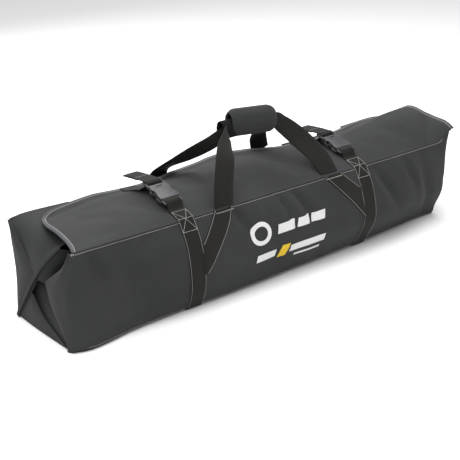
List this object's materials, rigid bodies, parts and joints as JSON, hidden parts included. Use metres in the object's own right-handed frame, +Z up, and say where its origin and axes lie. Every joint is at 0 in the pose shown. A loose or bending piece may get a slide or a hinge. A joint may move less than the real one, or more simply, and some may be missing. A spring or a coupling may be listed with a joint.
{
  "type": "wrap carry bag",
  "caption": "Long box-shaped padded fabric carry bag with a bound top flap, two buckled webbing straps and twin webbing handles joined in a wrap grip.",
  "frame": {"origin": "centre of the base's flat underside", "axes": "+X along the bag towards its right-hand end as seen from the printed front, +Y to the back, +Z up"},
  "size_m": [1.1116, 0.337, 0.3712],
  "materials": {
    "shell_fabric": "matt woven polyester with a fine plain weave",
    "grip_fabric": "padded woven polyester",
    "webbing": "ribbed polypropylene webbing, pale topstitching",
    "edge_binding": "pale grey woven tape, satin, pale stitching",
    "hook_tape": "hook tape",
    "buckle_plastic": "satin moulded acetal"
  },
  "bodies": {
    "shell": {"front_panel": "shell_fabric", "back_panel": "shell_fabric", "base_panel": "shell_fabric", "left_end_panel": "shell_fabric", "right_end_panel": "shell_fabric", "left_strap_wrap": "webbing", "right_strap_wrap": "webbing", "front_left_sewn_leg": "webbing", "front_right_sewn_leg": "webbing", "rear_left_sewn_leg": "webbing", "rear_right_sewn_leg": "webbing"},
    "flap": {"top_flap": "shell_fabric", "flap_binding": "edge_binding", "left_front_tab": "webbing", "right_front_tab": "webbing", "left_buckle_socket": "buckle_plastic", "right_buckle_socket": "buckle_plastic"},
    "front_handle": {"front_handle_webbing": "webbing", "grip_pad": "grip_fabric"},
    "rear_handle": {"rear_handle_webbing": "webbing"},
    "grip_cover": {"grip_lid": "grip_fabric", "grip_hook_strip": "hook_tape"},
    "left_rear_strap": {"left_load_webbing": "webbing", "left_strap_tail": "webbing", "left_buckle_plug": "buckle_plastic"},
    "left_plug_left_arm_body": {"left_plug_left_arm": "buckle_plastic"},
    "left_plug_right_arm_body": {"left_plug_right_arm": "buckle_plastic"},
    "right_rear_strap": {"right_load_webbing": "webbing", "right_strap_tail": "webbing", "right_buckle_plug": "buckle_plastic"},
    "right_plug_left_arm_body": {"right_plug_left_arm": "buckle_plastic"},
    "right_plug_right_arm_body": {"right_plug_right_arm": "buckle_plastic"}
  },
  "joints": [
    {"name": "flap_open", "type": "hinge", "parent": "shell", "child": "flap", "pos_m": [0, -0.124, 0.2], "axis": [1, 0, 0], "range_deg": [0, 120]},
    {"name": "front_handle_swing", "type": "hinge", "parent": "shell", "child": "front_handle", "pos_m": [0, -0.124, 0.2], "axis": [1, 0, 0], "range_deg": [0, 120]},
    {"name": "rear_handle_swing", "type": "hinge", "parent": "shell", "child": "rear_handle", "pos_m": [0, 0.127, 0.203], "axis": [-1, 0, 0], "range_deg": [0, 100]},
    {"name": "grip_lid_open", "type": "hinge", "parent": "front_handle", "child": "grip_cover", "pos_m": [-0.008, -0.036, 0.371], "axis": [-1, 0, 0], "range_deg": [0, 110]},
    {"name": "left_strap_swing", "type": "hinge", "parent": "shell", "child": "left_rear_strap", "pos_m": [-0.252, 0.127, 0.203], "axis": [-1, 0, 0], "range_deg": [0, 180], "deforming": ["left_load_webbing"]},
    {"name": "left_buckle_left_release", "type": "hinge", "parent": "left_rear_strap", "child": "left_plug_left_arm_body", "pos_m": [-0.2645, -0.03206, 0.24411], "axis": [0, -0.309, 0.9511], "range_deg": [0, 9], "stiffness_Nm_per_rad": 0.3},
    {"name": "left_buckle_right_release", "type": "hinge", "parent": "left_rear_strap", "child": "left_plug_right_arm_body", "pos_m": [-0.2395, -0.03206, 0.24411], "axis": [0, 0.309, -0.9511], "range_deg": [0, 9], "stiffness_Nm_per_rad": 0.3},
    {"name": "right_strap_swing", "type": "hinge", "parent": "shell", "child": "right_rear_strap", "pos_m": [0.238, 0.127, 0.203], "axis": [-1, 0, 0], "range_deg": [0, 180], "deforming": ["right_load_webbing"]},
    {"name": "right_buckle_left_release", "type": "hinge", "parent": "right_rear_strap", "child": "right_plug_left_arm_body", "pos_m": [0.2255, -0.03206, 0.24411], "axis": [0, -0.309, 0.9511], "range_deg": [0, 9], "stiffness_Nm_per_rad": 0.3},
    {"name": "right_buckle_right_release", "type": "hinge", "parent": "right_rear_strap", "child": "right_plug_right_arm_body", "pos_m": [0.2505, -0.03206, 0.24411], "axis": [0, 0.309, -0.9511], "range_deg": [0, 9], "stiffness_Nm_per_rad": 0.3}
  ],
  "couplings": [
    {"joint": "front_handle_swing", "follows": "flap_open", "ratio": 1},
    {"joint": "rear_handle_swing", "follows": "flap_open", "ratio": 0.8333},
    {"joint": "left_strap_swing", "follows": "flap_open", "ratio": 1.5},
    {"joint": "left_buckle_right_release", "follows": "left_buckle_left_release", "ratio": 1},
    {"joint": "right_strap_swing", "follows": "flap_open", "ratio": 1.5},
    {"joint": "right_buckle_right_release", "follows": "right_buckle_left_release", "ratio": 1}
  ]
}
